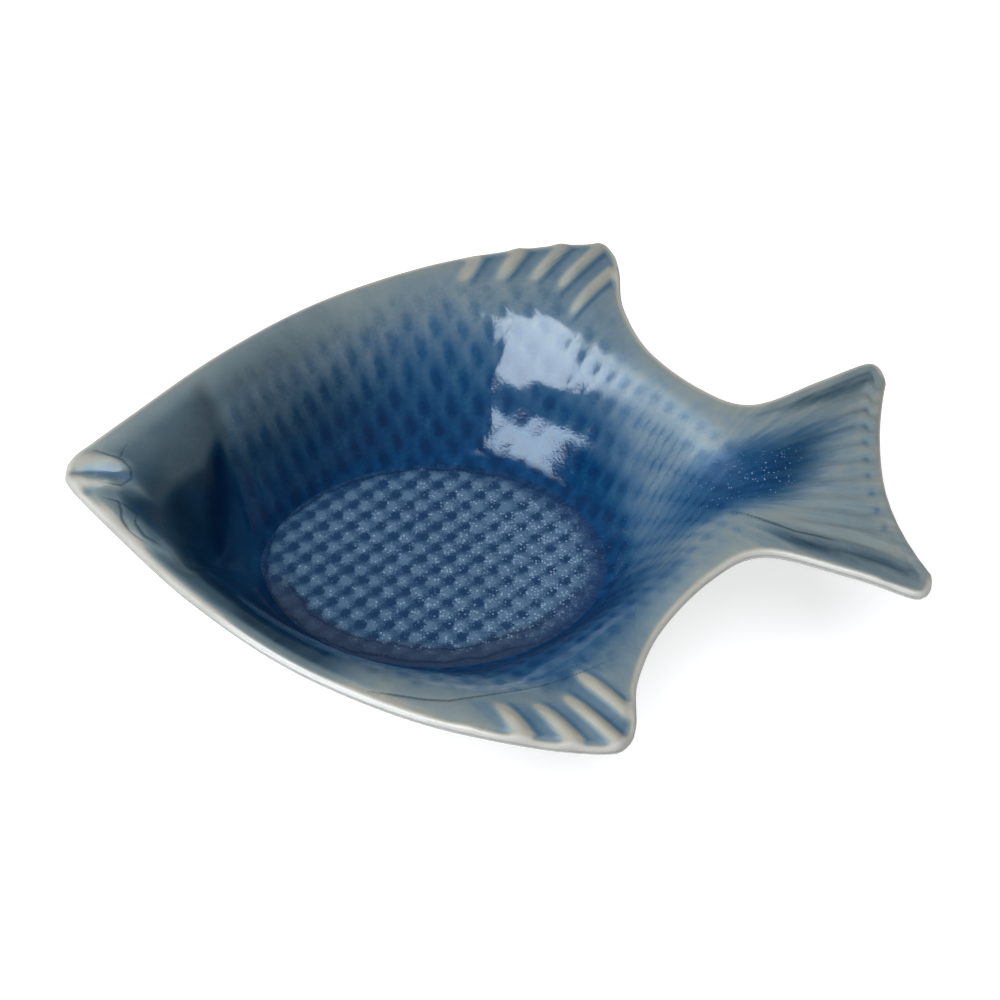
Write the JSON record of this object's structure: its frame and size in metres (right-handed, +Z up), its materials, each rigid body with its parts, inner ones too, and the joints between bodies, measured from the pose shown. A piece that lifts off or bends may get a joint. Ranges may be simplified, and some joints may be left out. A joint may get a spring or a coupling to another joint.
{
  "type": "fish shaped serving dish",
  "caption": "Deep stoneware serving dish in the outline of a fish, with an oval well, ribbed fins, a forked tail and a foot ring, glazed blue inside and pale outside.",
  "frame": {"origin": "middle of the dish's box, on the table that the foot ring stands on", "axes": "+X from nose to tail, +Y towards the back fin, +Z up"},
  "size_m": [0.3001, 0.241, 0.0615],
  "materials": {
    "clay": "matte",
    "blue_glaze": "gloss",
    "pale_glaze": "gloss",
    "pooled_glaze": "gloss"
  },
  "bodies": {
    "root": {"stoneware_body": "clay", "inside_glaze": "blue_glaze", "outside_glaze": "pale_glaze", "glaze_pool": "pooled_glaze"}
  },
  "joints": []
}
